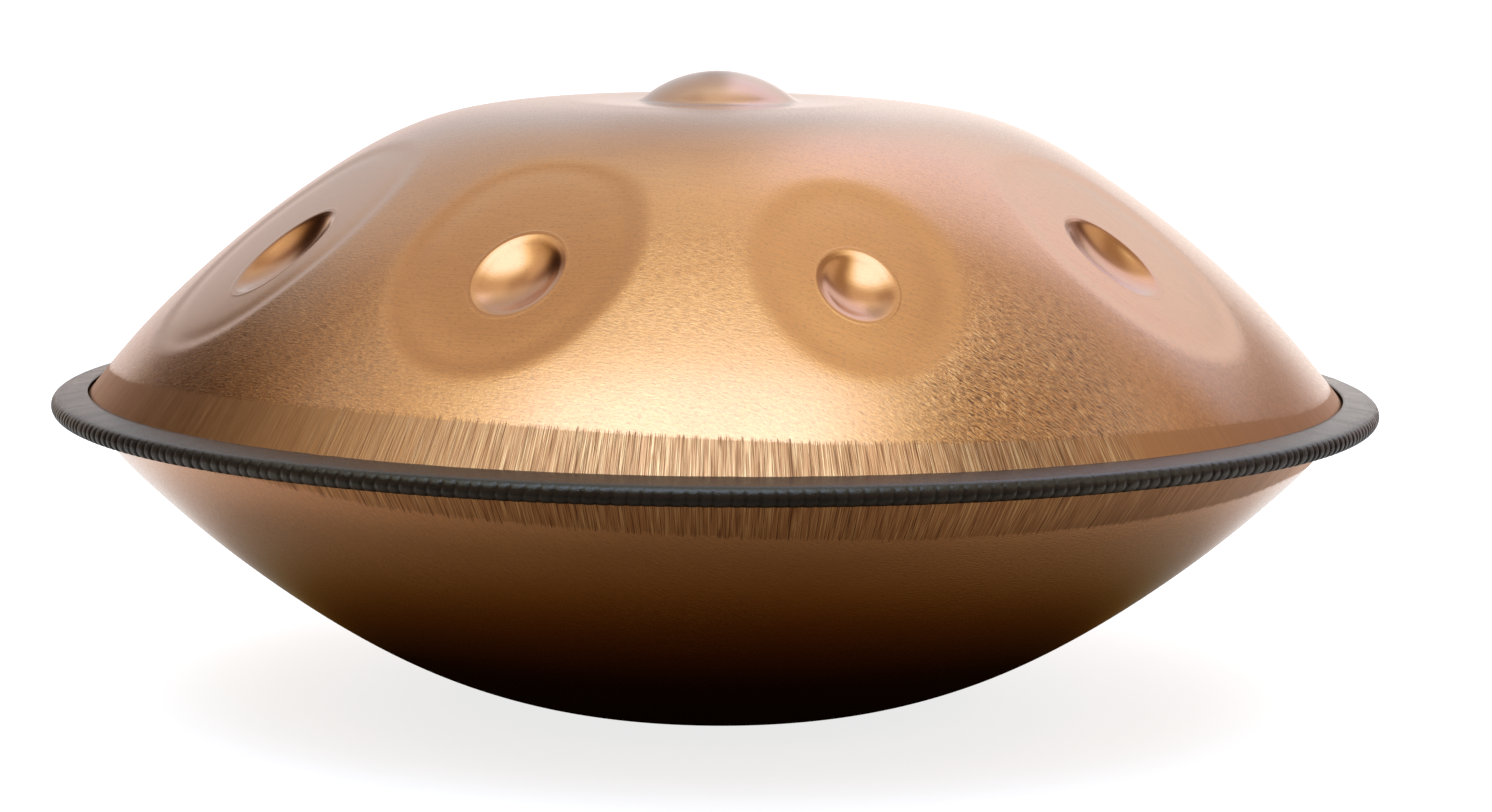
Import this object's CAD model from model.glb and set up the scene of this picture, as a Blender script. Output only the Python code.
import bpy
import math
import numpy as np
from mathutils import Matrix, Vector, geometry


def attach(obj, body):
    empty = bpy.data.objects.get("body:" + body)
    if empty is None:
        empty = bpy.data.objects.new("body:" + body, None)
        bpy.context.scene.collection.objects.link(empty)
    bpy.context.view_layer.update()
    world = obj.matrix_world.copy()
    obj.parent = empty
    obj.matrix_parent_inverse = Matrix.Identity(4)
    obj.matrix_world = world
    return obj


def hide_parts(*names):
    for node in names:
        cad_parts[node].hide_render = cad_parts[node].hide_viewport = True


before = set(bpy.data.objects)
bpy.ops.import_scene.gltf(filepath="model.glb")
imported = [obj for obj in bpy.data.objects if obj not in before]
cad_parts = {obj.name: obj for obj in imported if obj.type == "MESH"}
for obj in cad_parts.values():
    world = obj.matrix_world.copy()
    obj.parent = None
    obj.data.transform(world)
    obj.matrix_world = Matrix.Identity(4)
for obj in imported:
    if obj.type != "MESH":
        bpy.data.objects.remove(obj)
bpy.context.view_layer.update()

MM = 0.001

# ------------------------------------------------------------------ dimensions (mm, as in the CAD)
Z_RIM = 127.6
T = 1.2
GLUE = 0.6
R_FLANGE = 276.0
ROOT_FILLET = 3.0
FLANK = math.radians(52.0)
R_ROOT, H_ROOT = 264.0, 4.5
DING_TOP, DING_BALL, DING_BLEND = 139.3, 50.0, 7.0
DING_FIELD_R, DING_FIELD_H, DING_DISH = 62.0, 127.0, 0.45
UPPER = [(66.0, 126.75), (75.0, 126.15), (95.0, 124.1), (120.0, 118.7), (145.0, 107.9), (170.0, 92.3),
         (195.0, 73.9), (218.0, 54.3), (238.0, 35.0), (253.0, 18.2)]
LOWER = [(253.0, -18.0), (240.0, -31.2), (220.0, -49.3), (195.0, -69.2), (165.0, -89.9),
         (130.0, -109.2), (110.0, -117.4), (90.0, -123.6), (76.0, -126.6)]
FIELD_BALL = 1020.0
DIMPLE_DEPTH = 0.29
LIP = 1.5                    # width of the shallow lip round each dimple
# azimuth, radius, plan radius of the flattened field; azimuth, radius, plan radius of its dimple
FIELDS = [(-66.4, 191.0, 54.5, -63.5, 195.3, 21.0), (-24.3, 189.0, 50.0, -23.1, 194.7, 18.8),
          (16.1, 194.0, 42.6, 15.6, 198.4, 15.75), (58.0, 190.5, 50.0, 55.1, 192.0, 19.6),
          (103.8, 190.0, 54.5, 103.0, 194.5, 20.4), (152.0, 188.5, 58.5, 152.0, 193.5, 21.8),
          (201.0, 188.0, 60.5, 201.0, 193.0, 22.4), (248.4, 189.5, 57.0, 249.0, 194.0, 21.4)]
PORT_R, CREST_R, NECK_TOP = 55.0, 66.0, 26.0
TRIM_IN_R, TRIM_IN_H, TRIM_R, TRIM_H, RIM_R = 264.9, 5.7, 276.0, 4.0, 280.0
COVER_T = 1.0
PLEATS = 324

Z_TOP_FLANGE = GLUE / 2 + T
ROOT_R = R_ROOT + (H_ROOT - Z_TOP_FLANGE) / math.tan(FLANK)
TL = ROOT_FILLET * math.tan(FLANK / 2)
FLANK_END = (ROOT_R - TL * math.cos(FLANK), Z_TOP_FLANGE + TL * math.sin(FLANK))
FILLET_C = (ROOT_R + TL, Z_TOP_FLANGE + ROOT_FILLET)


# ------------------------------------------------------------------ meridian
class Cubic:
    """Clamped cubic spline z(r)."""

    def __init__(self, pts, s0, s1):
        x = np.array([p[0] for p in pts], float)
        y = np.array([p[1] for p in pts], float)
        n = len(x)
        h = np.diff(x)
        m = np.zeros((n, n))
        b = np.zeros(n)
        m[0, 0], m[0, 1] = 2 * h[0], h[0]
        b[0] = 6 * ((y[1] - y[0]) / h[0] - s0)
        m[-1, -1], m[-1, -2] = 2 * h[-1], h[-1]
        b[-1] = 6 * (s1 - (y[-1] - y[-2]) / h[-1])
        for i in range(1, n - 1):
            m[i, i - 1], m[i, i], m[i, i + 1] = h[i - 1], 2 * (h[i - 1] + h[i]), h[i]
            b[i] = 6 * ((y[i + 1] - y[i]) / h[i] - (y[i] - y[i - 1]) / h[i - 1])
        self.x, self.y, self.h, self.m = x, y, h, np.linalg.solve(m, b)

    def __call__(self, r):
        i = np.clip(np.searchsorted(self.x, r) - 1, 0, len(self.x) - 2)
        h, a, c = self.h[i], self.x[i + 1] - r, r - self.x[i]
        m0, m1 = self.m[i], self.m[i + 1]
        return (m0 * a ** 3 + m1 * c ** 3) / (6 * h) + (self.y[i] / h - m0 * h / 6) * a + (self.y[i + 1] / h - m1 * h / 6) * c


FLANK_CURVE = Cubic(UPPER + [FLANK_END], -0.075, -math.tan(FLANK))
BOWL_CURVE = Cubic([(CREST_R, -Z_RIM)] + LOWER[::-1] + [(FLANK_END[0], -FLANK_END[1])], 0.0, math.tan(FLANK))
DOME_C = DING_TOP - DING_BALL
BLEND_H = DING_FIELD_H - DING_DISH + DING_BLEND
BLEND_X = math.sqrt((DING_BALL + DING_BLEND) ** 2 - (BLEND_H - DOME_C) ** 2)
DOME_END = BLEND_X * DING_BALL / (DING_BALL + DING_BLEND)


def smin(a, b, k):
    h = np.maximum(k - np.abs(a - b), 0.0) / k
    return np.minimum(a, b) - h * h * k * 0.25


def base_height(r):
    """Height of the upper shell's outer skin without tone fields, from the joint."""
    r = np.asarray(r, float)
    z = np.full(r.shape, Z_TOP_FLANGE)
    dome = r < DOME_END
    z[dome] = DOME_C + np.sqrt(DING_BALL ** 2 - r[dome] ** 2)
    blend = (r >= DOME_END) & (r < BLEND_X)
    z[blend] = BLEND_H - np.sqrt(DING_BLEND ** 2 - (r[blend] - BLEND_X) ** 2)
    # dished note, its border and the shoulder as one curve
    note = (r >= BLEND_X) & (r < 66.0)
    s = (r[note] - BLEND_X) / (66.0 - BLEND_X)
    low = DING_FIELD_H - DING_DISH
    z[note] = low + (UPPER[0][1] - low) * (3 * s ** 2 - 2 * s ** 3) + (-0.075 * (66.0 - BLEND_X)) * (s ** 3 - s ** 2)
    flank = (r >= 66.0) & (r < FLANK_END[0])
    z[flank] = FLANK_CURVE(r[flank])
    root = (r >= FLANK_END[0]) & (r < FILLET_C[0])
    z[root] = FILLET_C[1] - np.sqrt(np.maximum(ROOT_FILLET ** 2 - (r[root] - FILLET_C[0]) ** 2, 0))
    return z


def field_frames():
    rows = []
    for az, r, plan, d_az, d_r, dimple in FIELDS:
        z = float(FLANK_CURVE(np.array([r]))[0])
        d = float(FLANK_CURVE(np.array([r + 0.01]))[0] - FLANK_CURVE(np.array([r - 0.01]))[0]) / 0.02
        phi = math.atan(-d)
        t = math.radians(az)
        e = np.array([math.sin(t), -math.cos(t), 0.0])
        n = e * math.sin(phi) + np.array([0, 0, math.cos(phi)])
        sink = plan ** 2 / 2 * (math.sin(phi) / r - 1 / FIELD_BALL)
        centre = e * r + np.array([0, 0, z]) - n * (sink + FIELD_BALL)
        td = math.radians(d_az)
        q = np.array([math.sin(td), -math.cos(td), 0.0]) * d_r
        q[2] = centre[2] + math.sqrt(FIELD_BALL ** 2 - (q[0] - centre[0]) ** 2 - (q[1] - centre[1]) ** 2)
        m = (q - centre) / np.linalg.norm(q - centre)
        along = np.array([math.cos(t), math.sin(t), 0.0])
        down = np.cross(m, along)
        cuts = []
        for radius, depth, blend in ((dimple, 0.16 * dimple, 0.10), (dimple - LIP, DIMPLE_DEPTH * dimple, 0.6)):
            ball = (radius ** 2 + depth ** 2) / (2 * depth)
            a = (np.outer(along, along) + np.outer(m, m)) / ball ** 2 + np.outer(down, down) / (ball / math.cos(phi)) ** 2
            cuts.append((q + m * (ball - depth), a, blend))
        rows.append({"centre": centre, "q": q, "cuts": cuts, "e": e, "r": r, "plan": plan, "dimple": dimple})
    return rows


FRAMES = field_frames()


def height(x, y):
    """Height of the finished outer skin of the upper shell."""
    r = np.hypot(x, y)
    z = base_height(r)
    for f in FRAMES:
        near = np.hypot(x - f["e"][0] * f["r"], y - f["e"][1] * f["r"]) < f["plan"] + 26
        if not near.any():
            continue
        xn, yn = x[near], y[near]
        c = f["centre"]
        ball = c[2] + np.sqrt(FIELD_BALL ** 2 - (xn - c[0]) ** 2 - (yn - c[1]) ** 2)
        under = z[near] - ball                    # how far the plate lies below the flank
        zn = smin(z[near], ball, 0.5) - 0.34 * np.exp(-((under - 1.0) / 0.66) ** 2)
        for mid, a, blend in f["cuts"]:
            px, py = xn - mid[0], yn - mid[1]
            qa = a[2, 2]
            qb = 2 * (a[0, 2] * px + a[1, 2] * py)
            qc = a[0, 0] * px ** 2 + 2 * a[0, 1] * px * py + a[1, 1] * py ** 2 - 1
            disc = qb ** 2 - 4 * qa * qc
            inside = (disc > 0) & (np.hypot(xn - f["q"][0], yn - f["q"][1]) < f["dimple"] + 4)
            dish = np.full(xn.shape, 1e6)
            dish[inside] = mid[2] + (-qb[inside] - np.sqrt(disc[inside])) / (2 * qa)
            zn = np.where(dish < 1e5, smin(zn, np.where(dish < 1e5, dish, 0), blend), zn)
        edge = np.hypot(xn - f["q"][0], yn - f["q"][1]) - f["dimple"] - 0.35
        z[near] = zn + 0.08 * np.exp(-(edge / 0.45) ** 2)      # the dimple's tool mark
    return z


def skin(x, y):
    """Points on the outer skin and their outward normals."""
    e = 0.02
    z = height(x, y)
    gx = (height(x + e, y) - height(x - e, y)) / (2 * e)
    gy = (height(x, y + e) - height(x, y - e)) / (2 * e)
    n = np.stack([-gx, -gy, np.ones_like(gx)], 1)
    n /= np.linalg.norm(n, axis=1)[:, None]
    return np.stack([x, y, z + Z_RIM], 1), n


# ------------------------------------------------------------------ mesh helpers
def new_piece(name, verts, faces, loop_normals=None, attributes=None):
    mesh = bpy.data.meshes.new(name)
    mesh.from_pydata((np.asarray(verts) * MM).tolist(), [], faces)
    mesh.update()
    mesh.shade_smooth()
    for key, values in (attributes or {}).items():
        attr = mesh.attributes.new(key, "FLOAT", "POINT")
        attr.data.foreach_set("value", np.asarray(values, np.float32))
    if loop_normals is not None:
        mesh.normals_split_custom_set(loop_normals.tolist())
    obj = bpy.data.objects.new(name, mesh)
    bpy.context.scene.collection.objects.link(obj)
    return obj


def ring_points(radii, spacing, first=0.0):
    xs, ys = [], []
    for k, r in enumerate(radii):
        if r < 1e-6:
            xs.append(np.zeros(1))
            ys.append(np.zeros(1))
            continue
        n = max(6, int(round(2 * math.pi * r / spacing)))
        t = (np.arange(n) + 0.5 * (k % 2)) * 2 * math.pi / n + first
        xs.append(r * np.cos(t))
        ys.append(r * np.sin(t))
    return np.concatenate(xs), np.concatenate(ys)


def triangulate(x, y):
    pts = [Vector((float(a), float(b))) for a, b in zip(x, y)]
    out = geometry.delaunay_2d_cdt(pts, [], [], 0, 1e-7)
    if len(out[0]) != len(pts):
        raise RuntimeError("triangulation changed the points")
    order = [src[0] for src in out[3]]
    return [tuple(order[i] for i in f) for f in out[2]]


RIM_N = 720
RIM_T = np.arange(RIM_N) * 2 * math.pi / RIM_N


def upper_plan(step, dimple_rings):
    radii = list(np.arange(0.0, BLEND_X + 6, min(step, 1.6))) + list(np.arange(BLEND_X + 6 + step, 262.0, step))
    radii += [262.6, 263.6, 264.4, 265.1, 265.7, 266.3, 266.9, 267.5, 268.2, 270.0, 273.0]
    x, y = ring_points(radii, step)
    if dimple_rings:
        keep = np.ones(len(x), bool)
        for f in FRAMES:
            keep &= np.hypot(x - f["q"][0], y - f["q"][1]) > f["dimple"] + 3.2
        x, y = x[keep], y[keep]
        for f in FRAMES:
            d = f["dimple"]
            rr = [0.0] + list(np.arange(1.5, d - LIP - 3.8, 1.5)) + list(np.arange(d - LIP - 3.2, d - 0.5, 0.5)) + list(np.arange(d - 0.4, d + 1.3, 0.2)) + [d + 1.6, d + 2.2]
            for k, rad in enumerate(rr):
                if rad == 0.0:
                    a, b = np.zeros(1), np.zeros(1)
                else:
                    s = 1.5 if rad < d - LIP - 3.4 else 1.0
                    n = max(6, int(round(2 * math.pi * (d if s == 1.0 else rad) / s)))
                    t = (np.arange(n) + 0.5 * (k % 2)) * 2 * math.pi / n
                    a, b = rad * np.cos(t), rad * np.sin(t)
                x = np.concatenate([x, a + f["q"][0]])
                y = np.concatenate([y, b + f["q"][1]])
    x = np.concatenate([x, R_FLANGE * np.cos(RIM_T)])
    y = np.concatenate([y, R_FLANGE * np.sin(RIM_T)])
    return x, y


def build_upper():
    x, y = upper_plan(2.3, True)
    outer, n_out = skin(x, y)
    tri = np.array(triangulate(x, y))
    p = outer[tri]
    flip = np.cross(p[:, 1] - p[:, 0], p[:, 2] - p[:, 0])[:, 2] < 0
    tri[flip] = tri[flip][:, ::-1]
    u, v = upper_plan(6.0, False)
    under, n_u = skin(u, v)
    inner = under - n_u * T
    inner[-RIM_N:] = outer[-RIM_N:] - np.array([0, 0, T])
    tri_in = np.array(triangulate(inner[:, 0], inner[:, 1]))
    p = inner[tri_in]
    flip = np.cross(p[:, 1] - p[:, 0], p[:, 2] - p[:, 0])[:, 2] > 0
    tri_in[flip] = tri_in[flip][:, ::-1]
    n0, n1 = len(outer), len(inner)
    a = np.arange(n0 - RIM_N, n0)
    b = np.arange(n0 + n1 - RIM_N, n0 + n1)
    wall = np.stack([a, b, np.roll(b, -1), np.roll(a, -1)], 1)
    verts = np.concatenate([outer, inner])
    faces = tri.tolist() + (tri_in + n0).tolist() + wall.tolist()
    normals = np.concatenate([n_out, -n_u])
    radial = np.stack([np.cos(RIM_T), np.sin(RIM_T), np.zeros(RIM_N)], 1)
    wn = np.stack([radial, radial, np.roll(radial, -1, 0), np.roll(radial, -1, 0)], 1)
    loops = np.concatenate([normals[tri].reshape(-1, 3), normals[tri_in + n0].reshape(-1, 3), wn.reshape(-1, 3)])
    # masks: tone fields, dimples, the inside
    field = np.zeros(len(verts))
    dimple = np.zeros(len(verts))
    for f in FRAMES:
        d = np.hypot(verts[:, 0] - f["e"][0] * f["r"], verts[:, 1] - f["e"][1] * f["r"])
        field = np.maximum(field, np.clip((f["plan"] + 2.5 - d) / 7.0, 0, 1))
        d = np.hypot(verts[:, 0] - f["q"][0], verts[:, 1] - f["q"][1])
        dimple = np.maximum(dimple, np.clip((f["dimple"] + 0.4 - d) / 0.8, 0, 1))
    r = np.hypot(verts[:, 0], verts[:, 1])
    field = np.maximum(field, np.clip((DING_FIELD_R + 4 - r) / 12.0, 0, 1))
    inside = np.concatenate([np.zeros(n0), np.ones(n1)])
    return new_piece("upper_shell_skin", verts, faces, loops, {"field": field, "dimple": dimple, "inside": inside})


def build_lower():
    """Revolved section: outer side from the flange down to the crest, neck, and back inside."""
    sec = []          # r, z (from the ground), inside flag

    def arc(c, rad, d0, d1, n, flag):
        for k in range(n + 1):
            t = math.radians(d0 + (d1 - d0) * k / n)
            sec.append((c[0] + rad * math.cos(t), c[1] + rad * math.sin(t), flag))

    zf = Z_RIM - Z_TOP_FLANGE
    deg = math.degrees(FLANK)
    for r in (R_FLANGE - 0.25, 273.0, 270.0):
        sec.append((r, zf, 0))
    arc((FILLET_C[0], Z_RIM - FILLET_C[1]), ROOT_FILLET, 90.0, 90.0 + deg, 9, 0)
    rs = np.arange(FLANK_END[0] - 1.0, CREST_R + 1.0, -2.2)
    zs = BOWL_CURVE(rs) + Z_RIM
    for r, z in zip(rs, zs):
        sec.append((r, z, 0))
    roll = CREST_R - PORT_R
    arc((CREST_R, roll), roll, 270.0, 180.0, 18, 0)
    for z in (14.0, 18.0, 22.0, NECK_TOP - 0.35):
        sec.append((PORT_R, z, 0))
    arc((PORT_R + 0.35, NECK_TOP - 0.35), 0.35, 180.0, 90.0, 3, 0)
    arc((PORT_R + T - 0.35, NECK_TOP - 0.35), 0.35, 90.0, 0.0, 3, 1)
    sec.append((PORT_R + T, 18.0, 1))
    arc((CREST_R, roll), roll - T, 180.0, 270.0, 12, 1)
    rs = np.arange(CREST_R + 4.0, FLANK_END[0] - 2.0, 5.0)
    e = 0.05
    d = (BOWL_CURVE(rs + e) - BOWL_CURVE(rs - e)) / (2 * e)
    zs = BOWL_CURVE(rs) + Z_RIM
    k = 1 / np.sqrt(1 + d * d)
    for r, z, dd, kk in zip(rs, zs, d, k):
        sec.append((r - T * dd * kk, z + T * kk, 1))
    arc((FILLET_C[0], Z_RIM - FILLET_C[1]), ROOT_FILLET + T, 90.0 + deg, 90.0, 6, 1)
    sec.append((R_FLANGE - 0.25, Z_RIM - GLUE / 2, 1))
    sec.append((R_FLANGE, Z_RIM - GLUE / 2 - 0.25, 1))
    sec.append((R_FLANGE, zf + 0.25, 0))
    sec = np.array(sec)
    m, n = len(sec), 720
    t = np.arange(n) * 2 * math.pi / n
    verts = np.stack([np.outer(np.cos(t), sec[:, 0]).ravel(), np.outer(np.sin(t), sec[:, 0]).ravel(),
                      np.tile(sec[:, 1], n)], 1)
    i, j = np.meshgrid(np.arange(n), np.arange(m), indexing="ij")
    i2, j2 = (i + 1) % n, (j + 1) % m
    faces = np.stack([i * m + j, i * m + j2, i2 * m + j2, i2 * m + j], -1).reshape(-1, 4)
    # outwards: the section runs with the metal on its right
    p = verts[faces[0]]
    if np.cross(p[1] - p[0], p[2] - p[0])[2] > 0:
        faces = faces[:, ::-1]
    zero = np.zeros(len(verts))
    return new_piece("lower_shell_skin", verts, faces.tolist(), None,
                     {"field": zero, "dimple": zero, "inside": np.tile(sec[:, 2], n)})


def build_cover():
    """The wrap: a channel section, gathered into pleats over its outer and lower sides."""
    slope = math.atan2(TRIM_IN_H - TRIM_H, TRIM_R - TRIM_IN_R)
    rnd = np.random.default_rng(7)

    def line(depth, n_flat, n_arc):
        rad = TRIM_H - depth
        c = (RIM_R - TRIM_H, 0.0)
        t0 = math.pi / 2 - slope
        foot = (TRIM_IN_R + 0.18 * depth, TRIM_IN_H - depth / math.cos(slope))
        start = (c[0] + rad * math.cos(t0), rad * math.sin(t0))
        pts = [(foot[0] + (start[0] - foot[0]) * k / n_flat, foot[1] + (start[1] - foot[1]) * k / n_flat) for k in range(n_flat)]
        for k in range(n_arc + 1):
            t = t0 - 2 * t0 * k / n_arc
            pts.append((c[0] + rad * math.cos(t), rad * math.sin(t)))
        pts += [(p[0], -p[1]) for p in reversed(pts[:n_flat])]
        return pts

    outer = line(0.0, 9, 18)
    n_out = len(outer)
    inner = line(COVER_T, 4, 8)[::-1]
    sec = np.array(outer + inner)
    # round the two feet a little
    m = len(sec)
    arc_len = np.concatenate([[0], np.cumsum(np.hypot(*np.diff(np.array(outer), axis=0).T))])
    u = arc_len / arc_len[-1]                       # 0 upper foot, 1 lower foot
    per = 12
    n = PLEATS * per
    gap = 0.15 / RIM_R
    t = math.pi / 2 + gap + (2 * math.pi - 2 * gap) * np.arange(n + 1) / n
    # normals of the outer section line
    o = np.array(outer)
    tang = np.gradient(o, axis=0)
    nor = np.stack([-tang[:, 1], tang[:, 0]], 1)
    nor /= np.linalg.norm(nor, axis=1)[:, None]
    nor *= np.sign(nor[n_out // 2, 0])
    # pleats: narrow creases that lean and vary
    k = np.arange(PLEATS + 1)
    jitter = np.interp(np.arange(n + 1) / per, k, rnd.normal(0, 0.10, PLEATS + 1))
    lean = np.interp(np.arange(n + 1) / per, k, rnd.normal(0.0, 0.10, PLEATS + 1))
    deep = np.interp(np.arange(n + 1) / per, k, rnd.uniform(0.65, 1.15, PLEATS + 1))
    phase = (np.arange(n + 1) / per)[:, None] + jitter[:, None] + (0.55 + lean[:, None]) * (u[None, :] - 0.5) * 1.4
    crease = np.abs(np.cos(math.pi * phase)) ** 8           # 1 in the crease
    body = np.abs(np.sin(math.pi * phase)) ** 0.8
    where = np.clip((u - 0.36) / 0.12, 0, 1) * np.clip((0.99 - u) / 0.10, 0, 1)
    where = where * where * (3 - 2 * where)
    # deeper gathers on the flanks than at the front and back
    flank = np.clip((np.abs(np.cos(t)) - 0.45) / 0.4, 0, 1)
    flank = flank * flank * (3 - 2 * flank)
    amp = (0.38 + 0.26 * flank[:, None]) * where[None, :] * deep[:, None]
    top = 0.05 * np.clip((0.46 - u) / 0.2, 0, 1)[None, :]
    long_wave = np.interp(np.arange(n + 1) / per, k, rnd.normal(0, 1, PLEATS + 1))
    disp = -amp * crease + 0.10 * amp * body + top * long_wave[:, None]
    disp = np.minimum(disp, 0.12)
    verts = np.zeros((n + 1, m, 3))
    rr = np.tile(sec[:, 0], (n + 1, 1))
    zz = np.tile(sec[:, 1], (n + 1, 1))
    rr[:, :n_out] += disp * nor[None, :, 0]
    zz[:, :n_out] += disp * nor[None, :, 1]
    verts[..., 0] = rr * np.cos(t)[:, None]
    verts[..., 1] = rr * np.sin(t)[:, None]
    verts[..., 2] = zz + Z_RIM
    i, j = np.meshgrid(np.arange(n), np.arange(m), indexing="ij")
    j2 = (j + 1) % m
    faces = np.stack([i * m + j, (i + 1) * m + j, (i + 1) * m + j2, i * m + j2], -1).reshape(-1, 4)
    v = verts.reshape(-1, 3)
    p = v[faces[4]]
    if np.cross(p[1] - p[0], p[2] - p[0])[2] < 0:
        faces = faces[:, ::-1]
    faces = faces.tolist()
    first, last = list(range(m)), [n * m + j for j in range(m)]
    caps = [first, last[::-1]]
    p = v[first]
    area = sum((np.cross(p[a], p[(a + 1) % m]) for a in range(m)), np.zeros(3))
    out_dir = np.array([-math.sin(t[0]), math.cos(t[0]), 0])
    if np.dot(area, -out_dir) < 0:
        caps = [first[::-1], last]
    pleat = np.zeros((n + 1, m))
    pleat[:, :n_out] = crease * where[None, :]
    side = np.zeros((n + 1, m))
    side[:, :n_out] = u[None, :]
    return new_piece("rim_cover_wrap", v, faces + caps, None, {"pleat": pleat.ravel(), "side": side.ravel()})


# ------------------------------------------------------------------ node helper
class Nodes:
    def __init__(self, name):
        self.mat = bpy.data.materials.new(name)
        self.mat.use_nodes = True
        self.tree = self.mat.node_tree
        self.tree.nodes.clear()
        self.out = self.add("ShaderNodeOutputMaterial")
        self.bsdf = self.add("ShaderNodeBsdfPrincipled")
        self.link(self.bsdf.outputs[0], self.out.inputs[0])

    def add(self, kind, **props):
        node = self.tree.nodes.new(kind)
        for k, v in props.items():
            setattr(node, k, v)
        return node

    def link(self, a, b):
        self.tree.links.new(a, b)

    def put(self, socket, value):
        if hasattr(value, "is_output") or isinstance(value, bpy.types.NodeSocket):
            self.link(value, socket)
        else:
            socket.default_value = value

    def coords(self):
        return self.add("ShaderNodeTexCoord").outputs["Object"]

    def math(self, op, a, b=None, c=None, clamp=False):
        node = self.add("ShaderNodeMath", operation=op, use_clamp=clamp)
        self.put(node.inputs[0], a)
        if b is not None:
            self.put(node.inputs[1], b)
        if c is not None:
            self.put(node.inputs[2], c)
        return node.outputs[0]

    def vmath(self, op, a, b=None, scale=None):
        node = self.add("ShaderNodeVectorMath", operation=op)
        self.put(node.inputs[0], a)
        if b is not None:
            self.put(node.inputs[1], b)
        if scale is not None:
            self.put(node.inputs["Scale"], scale)
        return node.outputs["Value"] if op in ("LENGTH", "DOT_PRODUCT", "DISTANCE") else node.outputs[0]

    def xyz(self, v):
        node = self.add("ShaderNodeSeparateXYZ")
        self.put(node.inputs[0], v)
        return node.outputs[0], node.outputs[1], node.outputs[2]

    def vec(self, x, y, z):
        node = self.add("ShaderNodeCombineXYZ")
        for s, v in zip(node.inputs, (x, y, z)):
            self.put(s, v)
        return node.outputs[0]

    def noise(self, vector, scale=1.0, detail=2.0, rough=0.5, distort=0.0, dims="3D"):
        node = self.add("ShaderNodeTexNoise", noise_dimensions=dims)
        if vector is not None:
            self.put(node.inputs["Vector"], vector)
        node.inputs["Scale"].default_value = scale
        node.inputs["Detail"].default_value = detail
        node.inputs["Roughness"].default_value = rough
        node.inputs["Distortion"].default_value = distort
        return node.outputs["Fac"]

    def range(self, value, a, b, c=0.0, d=1.0, smooth=False):
        node = self.add("ShaderNodeMapRange", interpolation_type="SMOOTHSTEP" if smooth else "LINEAR")
        node.clamp = True
        self.put(node.inputs["Value"], value)
        for k, v in zip(("From Min", "From Max", "To Min", "To Max"), (a, b, c, d)):
            self.put(node.inputs[k], v)
        return node.outputs[0]

    def curve(self, angle, points, lo, hi):
        """A value between lo and hi as a smooth curve of azimuth, from (degrees, value) points."""
        node = self.add("ShaderNodeFloatCurve")
        node.inputs["Factor"].default_value = 1.0
        self.put(node.inputs["Value"], self.range(angle, -math.pi, math.pi))
        c = node.mapping.curves[0]
        for k, (deg, value) in enumerate(points):
            at = ((deg + 180.0) / 360.0, (value - lo) / (hi - lo))
            if k in (0, 1):
                c.points[k].location = at
            else:
                c.points.new(*at)
        node.mapping.update()
        return self.range(node.outputs[0], 0.0, 1.0, lo, hi)

    def mix(self, fac, a, b, kind="RGBA", blend="MIX"):
        node = self.add("ShaderNodeMix", data_type=kind, blend_type=blend) if kind == "RGBA" else self.add("ShaderNodeMix", data_type=kind)
        ins = [s for s in node.inputs if s.enabled]
        self.put(ins[0], fac)
        self.put(ins[1], a)
        self.put(ins[2], b)
        return [s for s in node.outputs if s.enabled][0]

    def attr(self, name):
        return self.add("ShaderNodeAttribute", attribute_name=name).outputs["Fac"]

    def bump(self, height, distance, strength=1.0, normal=None):
        node = self.add("ShaderNodeBump")
        node.inputs["Distance"].default_value = distance
        self.put(node.inputs["Strength"], strength)
        self.put(node.inputs["Height"], height)
        if normal is not None:
            self.put(node.inputs["Normal"], normal)
        return node.outputs[0]


def rgb(r, g, b):
    """8-bit display colour to linear."""
    def f(c):
        c /= 255
        return c / 12.92 if c <= 0.04045 else ((c + 0.055) / 1.055) ** 2.4
    return (f(r), f(g), f(b), 1.0)


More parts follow.
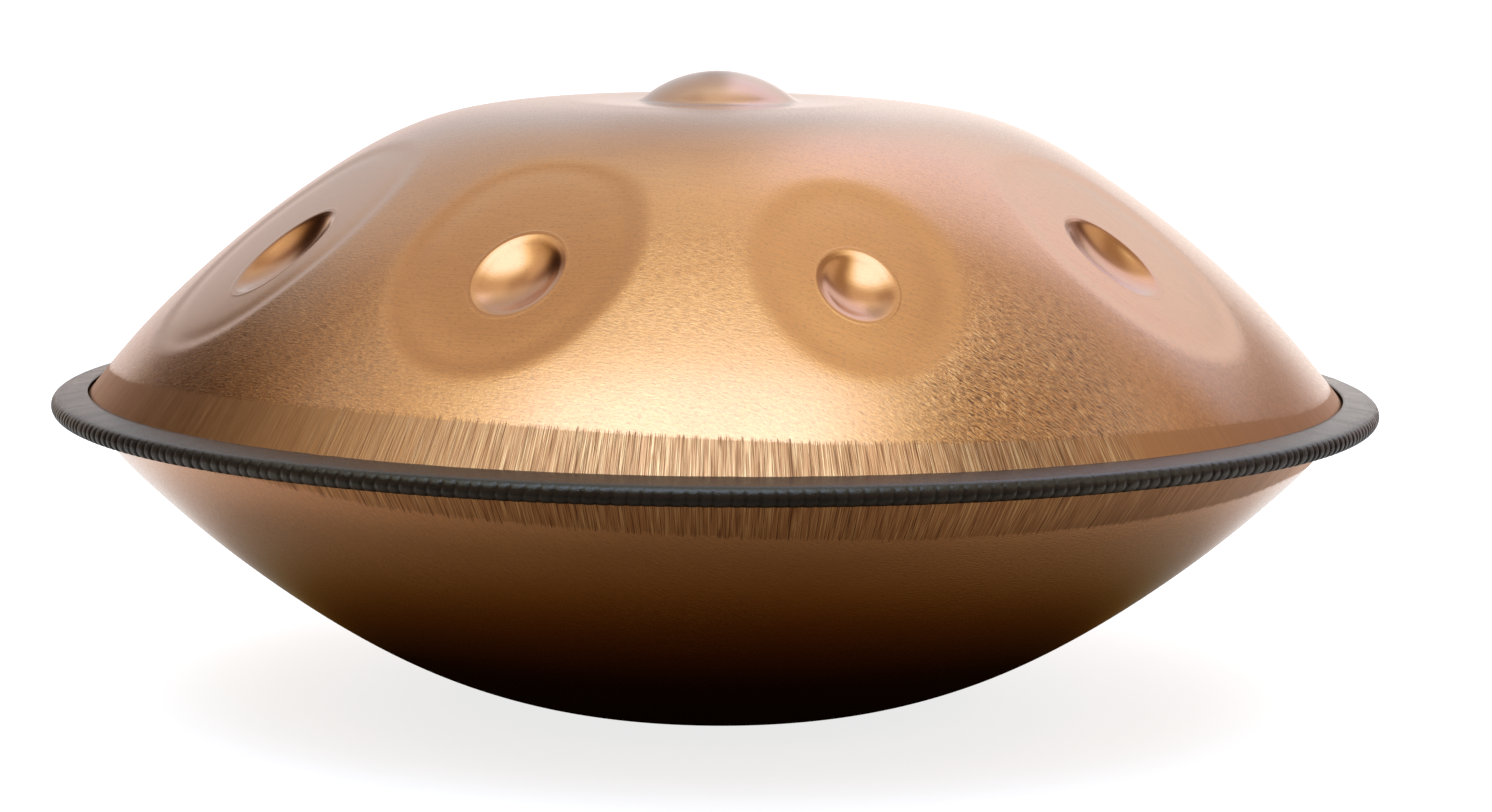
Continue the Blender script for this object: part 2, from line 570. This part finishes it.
# ------------------------------------------------------------------ heat-tinted steel
def steel(name, grain, band, streaks, shade, coarse):
    """grain: the rolled grain's line in plan, y + g0 x + g1 x2 + g2 x3 (left, right) = constant.
    The rest are curves over azimuth from the front in degrees: the ground band's inner radius in m,
    the strength of its streaks, its depth of colour, and how coarse the grain is low on the flank."""
    m = Nodes(name)
    p = m.coords()
    x, y, z = m.xyz(p)
    plan = m.vec(x, y, 0.0)
    rad = m.vmath("LENGTH", plan)
    # the sheet was drawn into its bowl, and its grain bends with it
    along = x
    xm = m.math("MAXIMUM", x, -0.16)
    bend = m.math("ADD", m.math("MULTIPLY", xm, grain[0]), m.math("MULTIPLY", m.math("MULTIPLY", xm, xm), grain[1]))
    for part, amount in (("MINIMUM", grain[2]), ("MAXIMUM", grain[3])):
        half = m.math(part, xm, 0.0)
        bend = m.math("ADD", bend, m.math("MULTIPLY", m.math("MULTIPLY", m.math("MULTIPLY", half, half), half), amount))
    bend = m.math("ADD", bend, m.math("MULTIPLY", m.math("SUBTRACT", x, xm), grain[4]))
    across = m.math("ADD", y, bend)
    field, dimple, inside = m.attr("field"), m.attr("dimple"), m.attr("inside")

    # rolled grain: short wavy wrinkles and pits in one direction over the whole sheet
    wave = m.noise(plan, 90.0, 3.0)
    bent = m.math("ADD", across, m.math("MULTIPLY", wave, 0.005))
    wrinkle = m.noise(m.vec(m.math("MULTIPLY", along, 300.0), m.math("MULTIPLY", bent, 1500.0), 0.0), 1.0, 2.0, 0.6)
    pits = m.noise(m.vec(m.math("MULTIPLY", along, 620.0), m.math("MULTIPLY", across, 1350.0), 2.0), 1.0, 2.0, 0.6)
    fine = m.noise(m.vec(m.math("MULTIPLY", along, 260.0), m.math("MULTIPLY", across, 3200.0), 0.3), 1.0, 2.0, 0.6)
    rub = m.noise(m.vec(m.math("MULTIPLY", along, 60.0), m.math("MULTIPLY", across, 1400.0), 5.0), 1.0, 3.0, 0.6)

    dash = m.noise(m.vec(m.math("MULTIPLY", along, 300.0), m.math("MULTIPLY", bent, 2700.0), 7.0), 1.0, 2.0, 0.6)

    # ground band beside the rim, with strokes across it
    unit = m.vmath("NORMALIZE", plan)
    ux, uy, _ = m.xyz(unit)

    def round_noise(f, fr, seed, detail, rough):
        return m.noise(m.vec(m.math("MULTIPLY", ux, f), m.math("MULTIPLY", uy, f), m.math("ADD", m.math("MULTIPLY", rad, fr), seed)), 1.0, detail, rough)

    stroke = round_noise(560.0, 48.0, 0.0, 1.0, 0.4)
    stroke2 = round_noise(620.0, 60.0, 4.0, 1.0, 0.4)
    hair = round_noise(1150.0, 85.0, 21.0, 1.0, 0.4)
    dark_line = m.math("MAXIMUM", m.range(stroke, 0.40, 0.33), m.range(hair, 0.46, 0.36, 0.0, 0.75))
    light_line = m.math("MAXIMUM", m.range(stroke2, 0.61, 0.67), m.range(hair, 0.55, 0.64, 0.0, 0.7))
    tooth = m.math("ADD", m.math("MULTIPLY", dark_line, 0.55), m.math("MULTIPLY", round_noise(500.0, 0.0, 9.0, 2.0, 0.6), 0.7))
    slow = round_noise(5.0, 0.0, 12.0, 2.0, 0.5)
    turn = m.math("ARCTAN2", ux, m.math("MULTIPLY", uy, -1.0))
    middle = m.curve(turn, band, 0.240, 0.270)
    edge = m.math("ADD", m.math("ADD", middle, m.math("MULTIPLY", m.math("SUBTRACT", 0.45, tooth), 0.0023)), m.math("MULTIPLY", m.math("SUBTRACT", slow, 0.5), 0.0012))
    lively = m.curve(turn, streaks, 0.0, 1.0)
    rugged = m.math("MULTIPLY", m.curve(turn, coarse, 0.0, 1.0), m.range(rad, 0.185, 0.232, 0.12, 1.0, True))
    # and between the two front fields
    front = m.math("MULTIPLY", m.range(m.math("ABSOLUTE", m.math("ADD", turn, 0.08)), 0.30, 0.08, 0.0, 0.34, True), m.math("MULTIPLY", m.range(rad, 0.155, 0.19, smooth=True), m.range(rad, 0.236, 0.212, smooth=True)))
    rugged = m.math("MULTIPLY", m.math("MAXIMUM", rugged, front), m.math("SUBTRACT", 1.0, m.math("MULTIPLY", field, 0.85)))
    ground = m.math("MULTIPLY", m.range(rad, m.math("SUBTRACT", edge, 0.00015), m.math("ADD", edge, 0.00015)), m.math("SUBTRACT", 1.0, inside))

    # colour: bronze heat tint that drifts over the sheet
    drift = m.noise(p, 7.0, 3.0, 0.55)
    base = m.mix(m.range(drift, 0.35, 0.65), rgb(224, 153, 84), rgb(215, 143, 76))
    base = m.mix(m.range(m.noise(p, 30.0, 4.0, 0.6), 0.35, 0.75, 0.0, 0.3), base, rgb(232, 166, 96))
    base = m.mix(m.math("MULTIPLY", field, 0.6), base, rgb(216, 144, 72))
    base = m.mix(m.range(pits, 0.28, 0.46, 0.35, 0.0), base, rgb(120, 78, 44))
    base = m.mix(m.range(rub, 0.35, 0.55, 0.16, 0.0), base, rgb(150, 96, 52))
    base = m.mix(m.math("MULTIPLY", dimple, 0.55), base, rgb(200, 128, 62))
    base = m.mix(m.range(rad, 0.046, 0.040, 0.0, 0.6, True), base, rgb(204, 158, 126))
    # dark gaps and bright crests of the coarse grain
    base = m.mix(m.math("MULTIPLY", m.range(dash, 0.50, 0.40), m.math("MULTIPLY", rugged, 0.90)), base, rgb(92, 54, 28))
    base = m.mix(m.math("MULTIPLY", m.range(dash, 0.57, 0.67), m.math("MULTIPLY", rugged, 0.8)), base, rgb(252, 200, 130))
    gcol = m.mix(m.math("MULTIPLY", dark_line, lively), rgb(206, 144, 92), rgb(110, 68, 40))
    gcol = m.mix(m.range(round_noise(900.0, 40.0, 7.0, 2.0, 0.6), 0.35, 0.65, 0.0, 0.5), gcol, rgb(174, 117, 74))
    gcol = m.mix(m.math("MULTIPLY", light_line, lively), gcol, rgb(240, 188, 128))
    gcol = m.vmath("SCALE", gcol, scale=m.math("POWER", m.curve(turn, shade, 0.5, 1.1), 2.0))
    base = m.mix(ground, base, gcol)
    base = m.mix(m.math("MULTIPLY", inside, 0.75), base, rgb(92, 74, 60))
    m.put(m.bsdf.inputs["Base Color"], base)
    m.bsdf.inputs["Metallic"].default_value = 1.0

    rough = m.mix(field, m.range(pits, 0.3, 0.7, 0.31, 0.25), 0.24, "FLOAT")
    rough = m.mix(dimple, rough, 0.22, "FLOAT")
    rough = m.mix(ground, rough, m.range(stroke, 0.35, 0.65, 0.46, 0.34), "FLOAT")
    rough = m.mix(inside, rough, 0.5, "FLOAT")
    m.put(m.bsdf.inputs["Roughness"], rough)
    m.put(m.bsdf.inputs["Coat Weight"], m.range(ground, 0.0, 1.0, 1.0, 0.0))
    m.bsdf.inputs["Coat Roughness"].default_value = 0.20
    m.bsdf.inputs["Coat IOR"].default_value = 1.6

    off = m.math("SUBTRACT", 1.0, m.math("MULTIPLY", field, 0.75))
    off = m.math("MULTIPLY", off, m.math("SUBTRACT", 1.0, ground))
    off = m.math("MULTIPLY", off, m.math("SUBTRACT", 1.0, dimple))
    # the sheet is roughest low on the flank, to either side of the front
    low = m.math("MULTIPLY", m.range(rad, 0.185, 0.225, 0.25, 1.0, True), m.range(m.math("ABSOLUTE", ux), 0.2, 0.5, 0.35, 1.0, True))
    n = m.bump(wrinkle, 0.00012, m.math("MULTIPLY", off, m.range(m.noise(plan, 14.0, 2.0), 0.35, 0.65, 0.45, 0.9)))
    n = m.bump(dash, 0.00030, m.math("MULTIPLY", off, rugged), n)
    n = m.bump(pits, 0.00016, m.math("MULTIPLY", off, low), n)
    n = m.bump(fine, 0.00001, m.math("SUBTRACT", 1.0, ground), n)
    n = m.bump(m.math("SUBTRACT", light_line, dark_line), 0.00003, m.math("MULTIPLY", ground, m.range(lively, 0.0, 1.0, 0.3, 1.0)), n)
    n = m.bump(m.noise(p, 28.0, 2.0), 0.00035, 0.6, n)
    m.put(m.bsdf.inputs["Normal"], n)
    return m.mat


def leather():
    m = Nodes("rim_leather_grain")
    p = m.coords()
    pleat, side = m.attr("pleat"), m.attr("side")
    grain = m.add("ShaderNodeTexVoronoi", feature="DISTANCE_TO_EDGE")
    m.put(grain.inputs["Vector"], p)
    grain.inputs["Scale"].default_value = 1100.0
    pores = m.range(grain.outputs["Distance"], 0.0, 0.35)
    blot = m.noise(p, 60.0, 4.0, 0.6)
    fine = m.noise(p, 2200.0, 3.0, 0.6)
    wrinkle = m.noise(p, 420.0, 4.0, 0.65)
    base = m.mix(m.range(blot, 0.35, 0.7), rgb(17, 13, 9), rgb(27, 21, 15))
    base = m.mix(m.math("MULTIPLY", pleat, 0.8), base, rgb(4, 4, 4))
    base = m.mix(m.range(fine, 0.5, 0.8, 0.0, 0.3), base, rgb(38, 34, 31))
    m.put(m.bsdf.inputs["Base Color"], base)
    worn = m.range(m.math("ADD", blot, m.math("MULTIPLY", fine, 0.4)), 0.4, 1.0, 0.24, 0.38)
    m.put(m.bsdf.inputs["Roughness"], m.math("MULTIPLY", worn, m.range(side, 0.25, 0.45, 0.75, 1.0)))
    split = m.add("ShaderNodeSeparateXYZ")
    m.put(split.inputs["Vector"], p)
    flank = m.range(m.math("ABSOLUTE", split.outputs["X"]), 0.15, 0.25, 0.0, 1.0, True)
    dry = m.math("MULTIPLY", flank, m.range(side, 0.30, 0.50, 0.0, 0.8, True))
    m.put(m.bsdf.inputs["Specular IOR Level"], m.math("MULTIPLY", m.range(side, 0.46, 0.68, 0.62, 0.05, True), m.math("SUBTRACT", 1.0, dry)))
    m.bsdf.inputs["Specular Tint"].default_value = (1.0, 0.84, 0.62, 1.0)
    m.put(m.bsdf.inputs["Sheen Weight"], m.range(side, 0.42, 0.60, 0.16, 0.0, True))
    m.bsdf.inputs["Sheen Roughness"].default_value = 0.35
    m.bsdf.inputs["Sheen Tint"].default_value = (1.0, 0.80, 0.72, 1.0)
    n = m.bump(pores, 0.00005, 0.6)
    n = m.bump(fine, 0.00003, 0.6, n)
    n = m.bump(wrinkle, 0.00045, m.range(side, 0.0, 1.0, 0.12, 0.8), n)
    m.put(m.bsdf.inputs["Normal"], n)
    return m.mat


def dull(name, dark, light, scale, rough, bump):
    m = Nodes(name)
    p = m.coords()
    big, small = m.noise(p, scale, 4.0, 0.6), m.noise(p, scale * 12, 3.0, 0.6)
    m.put(m.bsdf.inputs["Base Color"], m.mix(m.range(big, 0.35, 0.65), dark, light))
    m.put(m.bsdf.inputs["Roughness"], m.range(small, 0.3, 0.7, rough - 0.1, rough + 0.1))
    m.put(m.bsdf.inputs["Normal"], m.bump(small, bump, 0.7))
    return m.mat


# ------------------------------------------------------------------ pieces
upper = build_upper()
upper.data.materials.append(steel("bronze_steel_upper", (0.20, -0.60, 6.0, 1.67, 0.80), (
    (-180, .2560), (180, .2560), (-110, .2562), (-85, .2556), (-67, .2540), (-55, .2520), (-42, .2509), (-30, .2506), (-17, .2512), (-5, .2525),
    (7.5, .2543), (20, .2556), (32, .2562), (51, .2574), (70, .2593), (95, .2585), (130, .2565)),
    ((-180, 0.7), (180, 0.7), (-120, 0.9), (-80, 0.15), (-62, 0.25), (-40, 0.35), (-18, 0.8), (-8, 1.0), (30, 1.0), (37, 1.0), (38.5, 0.06), (80, 0.08), (90, 0.7)),
    ((-180, .95), (180, .95), (-60, .93), (-40, .90), (-25, .94), (-8, .94), (8, .95), (14, 1.02), (19, .92), (24, .85), (30, .88), (37, .95), (46, .97), (65, .95), (90, .95)),
    ((-180, .5), (180, .5), (-110, .5), (-75, .40), (-60, .45), (-45, .52), (-35, .45), (-26, .22), (-14, .14), (4, .10), (13, .2), (21, .8), (29, 1.0), (38, .85), (44, .30), (60, .16), (75, .35), (110, .5))))
lower = build_lower()
lower.data.materials.append(steel("bronze_steel_lower", (-0.51, 0.0, 0.0, 0.0, -0.51), (
    (-180, .2545), (180, .2545), (-120, .2560), (-75, .2610), (-55, .2620), (-41, .2612), (-30, .2578), (-17, .2554), (-5, .2535),
    (7.5, .2516), (20, .2503), (30, .2498), (45, .2507), (57, .2522), (67, .2540), (110, .2520), (145, .2535)),
    ((-180, 0.9), (180, 0.9), (-60, 1.0), (0, 1.0), (28, 1.0), (45, 0.6), (70, 0.5), (100, 0.9)),
    ((-180, 1.0), (180, 1.0), (-55, 1.0), (-42, .96), (-20, .94), (0, .96), (18, .95), (30, .86), (42, .77), (55, .78), (66, .90), (90, 1.0)),
    ((-180, .12), (180, .12))))
cover = build_cover()
cover.data.materials.append(leather())
for piece, node, slot in ((upper, "upper_shell", "bronze_steel"), (lower, "lower_shell", "bronze_steel_lower"),
                          (cover, "rim_cover", "rim_leather")):
    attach(piece, "root")
    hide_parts(node)
for node, mat in (("rim_core", dull("foam_rubber_core", rgb(22, 21, 20), rgb(34, 32, 31), 80.0, 0.8, 0.0002)),
                  ("flange_adhesive", dull("cured_adhesive", rgb(120, 112, 98), rgb(150, 140, 124), 60.0, 0.6, 0.0001))):
    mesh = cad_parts[node].data
    mesh.materials.clear()
    mesh.materials.append(mat)

# ------------------------------------------------------------------ stage
def grid_plane(name, size, n):
    a = (np.arange(n + 1) / n - 0.5) * size
    gx, gy = np.meshgrid(a, a, indexing="ij")
    verts = np.stack([gx.ravel(), gy.ravel(), np.zeros(gx.size)], 1)
    faces = [(i * (n + 1) + j, (i + 1) * (n + 1) + j, (i + 1) * (n + 1) + j + 1, i * (n + 1) + j + 1) for i in range(n) for j in range(n)]
    return new_piece(name, verts, faces)


floor = grid_plane("studio_floor", 60000.0, 24)
fm = Nodes("pale_floor")
fp = fm.coords()
fm.put(fm.bsdf.inputs["Base Color"], fm.mix(fm.range(fm.noise(fp, 3.0, 3.0), 0.3, 0.7), (0.42, 0.417, 0.414, 1), (0.45, 0.447, 0.444, 1)))
fm.bsdf.inputs["Emission Color"].default_value = (1.0, 1.0, 1.0, 1.0)
fm.bsdf.inputs["Emission Strength"].default_value = 0.80
fm.bsdf.inputs["Roughness"].default_value = 0.9
fm.bsdf.inputs["Specular IOR Level"].default_value = 0.0
floor.data.materials.append(fm.mat)
floor.visible_glossy = False


def revolved_stage(name, section, n, colour_at):
    """A turned stage piece that gives off light, seen only by the rays that colour_at's flags leave on."""
    t = np.arange(n) * 2 * math.pi / n
    m = len(section)
    sec = np.array(section, float)
    verts = np.stack([np.outer(np.cos(t), sec[:, 0]).ravel(), np.outer(np.sin(t), sec[:, 0]).ravel(), np.tile(sec[:, 1], n)], 1)
    faces = [(i * m + j, ((i + 1) % n) * m + j, ((i + 1) % n) * m + j + 1, i * m + j + 1) for i in range(n) for j in range(m - 1)]
    obj = new_piece(name, verts, faces)
    mat = bpy.data.materials.new(name)
    mat.use_nodes = True
    tree = mat.node_tree
    tree.nodes.clear()
    out = tree.nodes.new("ShaderNodeOutputMaterial")
    glow = tree.nodes.new("ShaderNodeEmission")
    tree.links.new(glow.outputs[0], out.inputs[0])
    if colour_at is not None:
        tex = tree.nodes.new("ShaderNodeTexCoord")
        length = tree.nodes.new("ShaderNodeVectorMath")
        length.operation = "LENGTH"
        tree.links.new(tex.outputs["Object"], length.inputs[0])
        ramp = tree.nodes.new("ShaderNodeValToRGB")
        fill_ramp(ramp, colour_at)
        tree.links.new(length.outputs["Value"], ramp.inputs[0])
        split = tree.nodes.new("ShaderNodeSeparateXYZ")
        tree.links.new(tex.outputs["Object"], split.inputs[0])
        front = tree.nodes.new("ShaderNodeMapRange")
        front.interpolation_type = "SMOOTHSTEP"
        for k, value in (("From Min", -0.42), ("From Max", -0.17), ("To Min", 0.12), ("To Max", 1.0)):
            front.inputs[k].default_value = value
        tree.links.new(split.outputs[1], front.inputs["Value"])
        tree.links.new(front.outputs[0], glow.inputs["Strength"])
        tree.links.new(ramp.outputs[0], glow.inputs[0])
    else:
        glow.inputs[0].default_value = (1, 1, 1, 1)
    obj.data.materials.append(mat)
    return obj


def fill_ramp(ramp, stops):
    e = ramp.color_ramp.elements
    while len(e) > 1:
        e.remove(e[-1])
    e[0].position, e[0].color = stops[0][0], (*stops[0][1], 1.0)
    for at, c in stops[1:]:
        new = e.new(at)
        new.color = (*c, 1.0)


# the table under the instrument as its polished skin sees it: dark in the shade, light further out
table = revolved_stage("table_reflection", [(1.0, 1.5), (60, 1.5), (150, 1.5), (250, 1.5), (400, 1.5), (900, 1.5)], 96,
                       [(0.0, (0.0, 0.0, 0.0)), (0.140, (0.003, 0.001, 0.0)), (0.165, (0.020, 0.007, 0.001)),
                        (0.180, (0.040, 0.015, 0.002)), (0.200, (0.082, 0.042, 0.010)), (0.220, (0.140, 0.100, 0.050)),
                        (0.240, (0.200, 0.168, 0.125)), (0.262, (0.280, 0.240, 0.200)), (0.282, (0.43, 0.38, 0.34)),
                        (0.300, (0.54, 0.49, 0.46)), (0.325, (0.70, 0.66, 0.63)), (0.360, (0.95, 0.93, 0.92)),
                        (0.420, (1.03, 1.04, 1.05)), (0.90, (1.05, 1.05, 1.05))])
backdrop = revolved_stage("white_backdrop", [(28000 * math.sin(t), 28000 * math.cos(t) - 50) for t in np.linspace(0.02, 1.57, 24)], 64, None)
for o in (table, backdrop):
    o.visible_diffuse = o.visible_transmission = o.visible_volume_scatter = o.visible_shadow = False
table.visible_camera = False
backdrop.visible_glossy = False

# soft studio light: white walls, a large top box and a weaker one behind
world = bpy.data.worlds.new("studio")
bpy.context.scene.world = world
world.use_nodes = True
wt = world.node_tree
wt.nodes.clear()
w_out = wt.nodes.new("ShaderNodeOutputWorld")
w_bg = wt.nodes.new("ShaderNodeBackground")
wt.links.new(w_bg.outputs[0], w_out.inputs[0])
w_dir = wt.nodes.new("ShaderNodeTexCoord").outputs["Generated"]


def w_math(op, a, b=None, clamp=False):
    node = wt.nodes.new("ShaderNodeMath")
    node.operation = op
    node.use_clamp = clamp
    for s, v in zip(node.inputs, (a, b)):
        if v is None:
            continue
        if isinstance(v, bpy.types.NodeSocket):
            wt.links.new(v, s)
        else:
            s.default_value = v
    return node.outputs[0]


def w_lobe(az, el, amount, sharp):
    """A round soft box at azimuth az from the back towards +X, elevation el."""
    a, e = math.radians(az), math.radians(el)
    dot = wt.nodes.new("ShaderNodeVectorMath")
    dot.operation = "DOT_PRODUCT"
    wt.links.new(w_dir, dot.inputs[0])
    dot.inputs[1].default_value = (math.sin(a) * math.cos(e), math.cos(a) * math.cos(e), math.sin(e))
    return w_math("MULTIPLY", w_math("EXPONENT", w_math("MULTIPLY", w_math("SUBTRACT", dot.outputs["Value"], 1.0), sharp)), amount)


def w_smooth(value, lo, hi, a, b):
    node = wt.nodes.new("ShaderNodeMapRange")
    node.interpolation_type = "SMOOTHSTEP"
    wt.links.new(value, node.inputs["Value"])
    for k, v in zip(("From Min", "From Max", "To Min", "To Max"), (lo, hi, a, b)):
        node.inputs[k].default_value = v
    return node.outputs[0]


w_sep = wt.nodes.new("ShaderNodeSeparateXYZ")
wt.links.new(w_dir, w_sep.inputs[0])
wx, wy, wz = w_sep.outputs
flat = w_math("SQRT", w_math("ADD", w_math("MULTIPLY", wx, wx), w_math("ADD", w_math("MULTIPLY", wy, wy), 1e-6)))
flat_az = w_math("ARCTAN2", wx, wy)                # 0 straight behind the instrument, positive to the right
up_z = w_math("MAXIMUM", wz, 0.02)
cx, cy = w_math("DIVIDE", wx, up_z), w_math("DIVIDE", wy, up_z)   # where the ray meets a ceiling one unit up
over = w_smooth(wz, 0.10, 0.30, 0.0, 1.0)


def w_and(*parts):
    out = parts[0]
    for part in parts[1:]:
        out = w_math("MULTIPLY", out, part)
    return out


right_half = w_smooth(w_math("SUBTRACT", cx, w_math("MULTIPLY", cy, 0.03)), -0.02, 0.16, 0.0, 1.0)
az_in = w_and(w_smooth(flat_az, math.radians(-53), math.radians(-39), 0.0, 1.0), w_smooth(flat_az, math.radians(75), math.radians(50), 0.0, 1.0))
left_dark = w_and(w_smooth(cx, -0.92, -1.20, 0.0, 1.0), w_smooth(flat_az, math.radians(-26), math.radians(-35), 0.0, 1.0), 0.97)
right_dark = w_and(w_smooth(cx, 1.30, 1.85, 0.0, 1.0), w_smooth(flat_az, math.radians(18), math.radians(28), 0.0, 1.0), 0.78)
gap = w_and(w_smooth(w_math("ABSOLUTE", w_math("ADD", cx, 0.07)), 0.17, 0.02, 0.0, 1.0), w_smooth(cy, 1.0, 1.8, 0.0, 1.0), 0.24)
slant = w_math("SUBTRACT", cy, w_math("MULTIPLY", w_math("MAXIMUM", cx, 0.0), 0.45))
wall_l = w_and(az_in, w_smooth(cy, 0.18, 0.62, 0.0, 1.0), w_math("SUBTRACT", 1.0, right_half), w_math("SUBTRACT", 1.0, left_dark), w_math("SUBTRACT", 1.0, gap), 0.65)
wall_r = w_and(az_in, w_smooth(slant, 0.24, 0.46, 0.0, 1.0), right_half, w_math("SUBTRACT", 1.0, right_dark), w_smooth(cy, 0.7, 2.6, 1.22, 0.85))
strip = w_and(w_smooth(cx, -0.24, -0.10, 0.0, 1.0), w_smooth(cx, 0.52, 0.32, 0.0, 1.0), w_smooth(cy, 0.62, 0.40, 0.0, 1.0), w_smooth(cy, 0.02, 0.12, 0.0, 1.0), 0.40)
side_l = w_and(w_smooth(cx, -0.45, -0.62, 0.0, 1.0), w_smooth(cx, -1.7, -1.1, 0.0, 1.0), w_smooth(cy, 0.52, 0.22, 0.0, 1.0), w_smooth(cy, -2.4, -1.4, 0.0, 1.0), 0.46)
side_r = w_and(w_smooth(cx, 0.80, 1.10, 0.0, 1.0), w_smooth(cy, 0.62, 0.36, 0.0, 1.0), w_smooth(cy, -2.4, -1.4, 0.0, 1.0), 0.35)
box_in = w_and(w_smooth(cy, 0.13, -0.22, 0.0, 1.0), w_smooth(cy, -1.05, -0.75, 0.0, 1.0),
            w_smooth(w_math("ABSOLUTE", w_math("ADD", cx, 0.09)), 0.73, 0.25, 0.0, 1.0))
box = w_and(box_in, 2.66)
high = w_and(w_smooth(cy, 0.27, 0.90, 0.50, 0.05), w_smooth(cx, -1.3, -0.85, 0.15, 1.0), w_smooth(cy, -1.5, -0.9, 0.3, 1.0))
dip = w_and(w_smooth(cx, 0.38, 0.56, 0.0, 1.0), w_smooth(cx, 1.0, 0.82, 0.0, 1.0), w_smooth(cy, 0.42, 0.22, 0.0, 1.0), 0.24)
high = w_and(high, w_math("SUBTRACT", 1.0, dip))
for part in (wall_l, wall_r, strip, side_l, side_r, box):
    high = w_math("ADD", high, part)
# near the horizon: the wall behind, its left half dimmer, dark sides and front
low_az = w_and(w_smooth(flat_az, math.radians(-52), math.radians(-30), 0.0, 1.0), w_smooth(flat_az, math.radians(72), math.radians(40), 0.0, 1.0))
low = w_math("ADD", 0.14, w_and(low_az, w_smooth(flat_az, math.radians(-9), math.radians(7), 0.58, 0.92),
                                w_smooth(flat_az, math.radians(18), math.radians(34), 1.0, 0.5)))
low = w_math("ADD", low, w_smooth(wz, 0.30, -0.05, 0.0, 0.10))
light = w_math("ADD", w_and(high, over), w_and(low, w_math("SUBTRACT", 1.0, over)))
light = w_and(light, w_smooth(wz, -0.30, -0.10, 0.0, 1.0))
# dim parts of the room are warm, bright windows are cool
w_mixed = wt.nodes.new("ShaderNodeCombineXYZ")
light = w_math("MAXIMUM", light, 0.0)
warm = w_math("ADD", w_math("SUBTRACT", 0.95, w_math("ADD", w_and(wall_l, over, 0.12), w_and(box_in, over, 0.08))), w_and(w_math("SUBTRACT", 1.0, over), 0.16))
wt.links.new(w_math("MULTIPLY", w_math("POWER", light, 0.80), warm), w_mixed.inputs[0])
wt.links.new(light, w_mixed.inputs[1])
cool = w_math("ADD", w_math("ADD", 0.95, w_and(wall_r, over, w_smooth(cy, 0.9, 1.9, 0.36, 0.12))), w_math("ADD", w_and(w_smooth(box_in, 0.45, 1.0, 0.0, 1.0), over, 0.72), w_and(wall_l, over, 0.20)))
cool = w_math("SUBTRACT", cool, w_math("ADD", w_and(left_dark, 0.25), w_and(dip, 0.5)))
wt.links.new(w_math("MULTIPLY", light, cool), w_mixed.inputs[2])
light = w_mixed.outputs[0]
wt.links.new(light, w_bg.inputs["Color"])
w_bg.inputs["Strength"].default_value = 1.0


def panel(name, place, target, size, power):
    light = bpy.data.lights.new(name, "AREA")
    light.shape = "RECTANGLE"
    light.size, light.size_y = size
    light.energy = power
    obj = bpy.data.objects.new(name, light)
    bpy.context.scene.collection.objects.link(obj)
    obj.location = place
    obj.rotation_euler = (Vector(target) - Vector(place)).to_track_quat("-Z", "Y").to_euler()
    obj.visible_camera = False
    obj.visible_glossy = False
    return obj


panel("floor_fill", (0.0, 0.3, 4.5), (0, 0.3, 0), (7.0, 7.0), 150.0)


# ------------------------------------------------------------------ camera
cam = bpy.data.cameras.new("camera")
cam.sensor_width = 36.0
cam.lens = 36.0 * 4218.535 / 1492.0
cam.clip_end = 100.0
cam_obj = bpy.data.objects.new("camera", cam)
bpy.context.scene.collection.objects.link(cam_obj)
right = Vector((0.99993376, -0.00587137, 0.00989966))
up = Vector((-0.00903971, 0.13179048, 0.99123638))
fwd = Vector((0.0071246, 0.99126021, -0.13172867))
cam_obj.matrix_world = Matrix((
    (right.x, up.x, -fwd.x, 0.0),
    (right.y, up.y, -fwd.y, -1.784770),
    (right.z, up.z, -fwd.z, 0.233661 + Z_RIM * MM),
    (0, 0, 0, 1)))
scene = bpy.context.scene
scene.camera = cam_obj
scene.view_settings.view_transform = "Standard"
scene.view_settings.look = "None"
